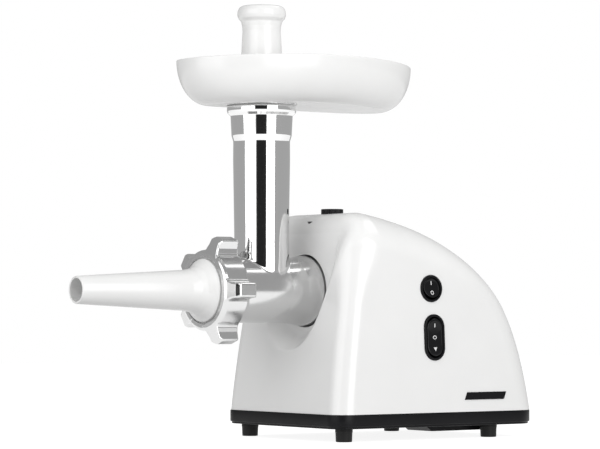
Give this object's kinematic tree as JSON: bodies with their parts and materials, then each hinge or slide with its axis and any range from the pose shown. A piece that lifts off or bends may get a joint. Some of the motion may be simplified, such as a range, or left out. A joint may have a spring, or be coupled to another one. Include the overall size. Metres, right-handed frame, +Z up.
{
  "type": "electric meat grinder",
  "caption": "Electric meat grinder: rounded white motor housing on feet, side switches, cast grinding head with feed tube, lugged clamping ring, sausage nozzle, oval feed tray and pusher.",
  "frame": {"origin": "on the floor plane under the feet, at the middle of the whole machine's footprint", "axes": "+Z up, -Y along the barrel toward the nozzle's tip, +X toward the side with the switches"},
  "size_m": [0.1842, 0.4592, 0.3994],
  "materials": {
    "white_gloss": "polished",
    "inner_white": "moulded",
    "black_plastic": "fine texture",
    "black_gloss": "polished",
    "foot_rubber": "matt",
    "cast_aluminium": "satin, polished feed tube",
    "gear_case": "die cast",
    "bright_steel": "ground",
    "dull_steel": "laminated or sintered",
    "bronze": "sintered",
    "copper": "enamelled copper",
    "nylon": "moulded",
    "carbon": "matt",
    "board": "lacquered"
  },
  "bodies": {
    "housing": {"housing_shell": "white_gloss", "base_tray": "black_plastic", "foot_front_left": "foot_rubber", "foot_front_right": "foot_rubber", "foot_rear_left": "foot_rubber", "foot_rear_right": "foot_rubber", "vent_cover": "black_plastic", "base_screws": "dull_steel", "cord_gland": "black_plastic", "badge": "black_gloss", "power_bezel": "black_plastic", "power_switch_body": "black_plastic", "direction_bezel": "black_plastic", "direction_switch_body": "black_plastic", "gearbox_case": "gear_case", "gearbox_cover": "gear_case", "gearbox_screws": "dull_steel", "gear_pins": "bright_steel", "output_bushes": "bronze", "motor_stator": "dull_steel", "motor_coils": "copper", "motor_front_bracket": "gear_case", "motor_rear_bracket": "gear_case", "motor_bearings": "bright_steel", "brush_holders": "bronze", "carbon_brushes": "carbon", "motor_screws": "dull_steel", "motor_pads": "foot_rubber", "control_board": "board", "button_guide": "inner_white", "lock_spring": "dull_steel", "lock_pivot": "bright_steel"},
    "power_rocker": {"power_rocker": "black_gloss"},
    "direction_rocker": {"direction_rocker": "black_gloss"},
    "output_gear": {"output_gear": "dull_steel"},
    "middle_gear": {"middle_gear": "nylon"},
    "first_gear": {"first_gear": "nylon"},
    "rotor": {"motor_pinion": "bright_steel", "rotor_core": "dull_steel", "rotor_windings": "copper", "commutator": "copper", "rotor_shaft": "bright_steel", "cooling_fan": "black_plastic"},
    "lock_button": {"lock_button": "black_gloss"},
    "lock_lever": {"lock_lever": "nylon"},
    "lock_pin": {"lock_pin": "bright_steel"},
    "washer": {"thrust_washer": "nylon"},
    "head": {"head_casting": "cast_aluminium", "cutting_plate": "bright_steel", "plate_key": "bright_steel"},
    "auger": {"auger": "bright_steel", "cross_blade": "bright_steel"},
    "nozzle": {"sausage_nozzle": "white_gloss"},
    "ring": {"ring_nut": "cast_aluminium"},
    "tray": {"tray": "white_gloss"},
    "pusher": {"pusher": "white_gloss"}
  },
  "joints": [
    {"name": "power_rocker_tilt", "type": "hinge", "parent": "housing", "child": "power_rocker", "pos_m": [0.08348, 0.101, 0.13885], "axis": [0, 1, 0], "range_deg": [0, 16]},
    {"name": "direction_rocker_tilt", "type": "hinge", "parent": "housing", "child": "direction_rocker", "pos_m": [0.08366, 0.103, 0.09376], "axis": [0, 1, 0], "range_deg": [-8, 8]},
    {"name": "first_gear_spin", "type": "hinge", "parent": "housing", "child": "first_gear", "pos_m": [-0.03257, 0.083, 0.06243], "axis": [0, 1, 0], "continuous": true},
    {"name": "rotor_spin", "type": "hinge", "parent": "housing", "child": "rotor", "pos_m": [0, 0.13, 0.07218], "axis": [0, 1, 0], "continuous": true},
    {"name": "middle_gear_spin", "type": "hinge", "parent": "housing", "child": "middle_gear", "pos_m": [-0.038, 0.07, 0.10206], "axis": [0, 1, 0], "continuous": true},
    {"name": "output_gear_spin", "type": "hinge", "parent": "housing", "child": "output_gear", "pos_m": [0, 0.057, 0.137], "axis": [0, 1, 0], "continuous": true},
    {"name": "lock_button_press", "type": "slide", "parent": "housing", "child": "lock_button", "axis": [0, 0, -1], "range_m": [0, 0.003], "stiffness_N_per_m": 300, "springref_m": -0.002, "deforming": ["lock_spring"]},
    {"name": "lock_lever_tilt", "type": "hinge", "parent": "housing", "child": "lock_lever", "pos_m": [0, 0.043, 0.192], "axis": [-1, 0, 0], "range_deg": [0, 20]},
    {"name": "lock_pin_lift", "type": "slide", "parent": "housing", "child": "lock_pin", "axis": [0, 0, 1], "range_m": [0, 0.0041]},
    {"name": "head_pull", "type": "slide", "parent": "housing", "child": "washer", "axis": [0, -1, 0], "range_m": [0, 0.065]},
    {"name": "head_twist", "type": "hinge", "parent": "washer", "child": "head", "pos_m": [0, 0.03, 0.137], "axis": [0, 1, 0], "range_deg": [-45, 0]},
    {"name": "auger_spin", "type": "hinge", "parent": "washer", "child": "auger", "pos_m": [0, 0.03, 0.137], "axis": [0, 1, 0], "continuous": true},
    {"name": "nozzle_pull", "type": "slide", "parent": "head", "child": "nozzle", "axis": [0, -1, 0], "range_m": [0, 0.012]},
    {"name": "ring_turn", "type": "hinge", "parent": "nozzle", "child": "ring", "pos_m": [0, -0.08, 0.137], "axis": [0, -1, 0], "range_deg": [0, 720]},
    {"name": "tray_lift", "type": "slide", "parent": "head", "child": "tray", "axis": [0, 0, 1], "range_m": [0, 0.09]},
    {"name": "pusher_lift", "type": "slide", "parent": "tray", "child": "pusher", "axis": [0, 0, 1], "range_m": [0, 0.18]}
  ],
  "couplings": [
    {"joint": "rotor_spin", "follows": "first_gear_spin", "ratio": -7.5},
    {"joint": "middle_gear_spin", "follows": "first_gear_spin", "ratio": -0.18519},
    {"joint": "output_gear_spin", "follows": "first_gear_spin", "ratio": 0.042438},
    {"joint": "auger_spin", "follows": "first_gear_spin", "ratio": 0.042438},
    {"joint": "lock_lever_tilt", "follows": "lock_button_press", "rad_per_m": 111.11},
    {"joint": "lock_pin_lift", "follows": "lock_button_press", "ratio": 1.3333},
    {"joint": "ring_turn", "follows": "nozzle_pull", "rad_per_m": 1047.2}
  ]
}
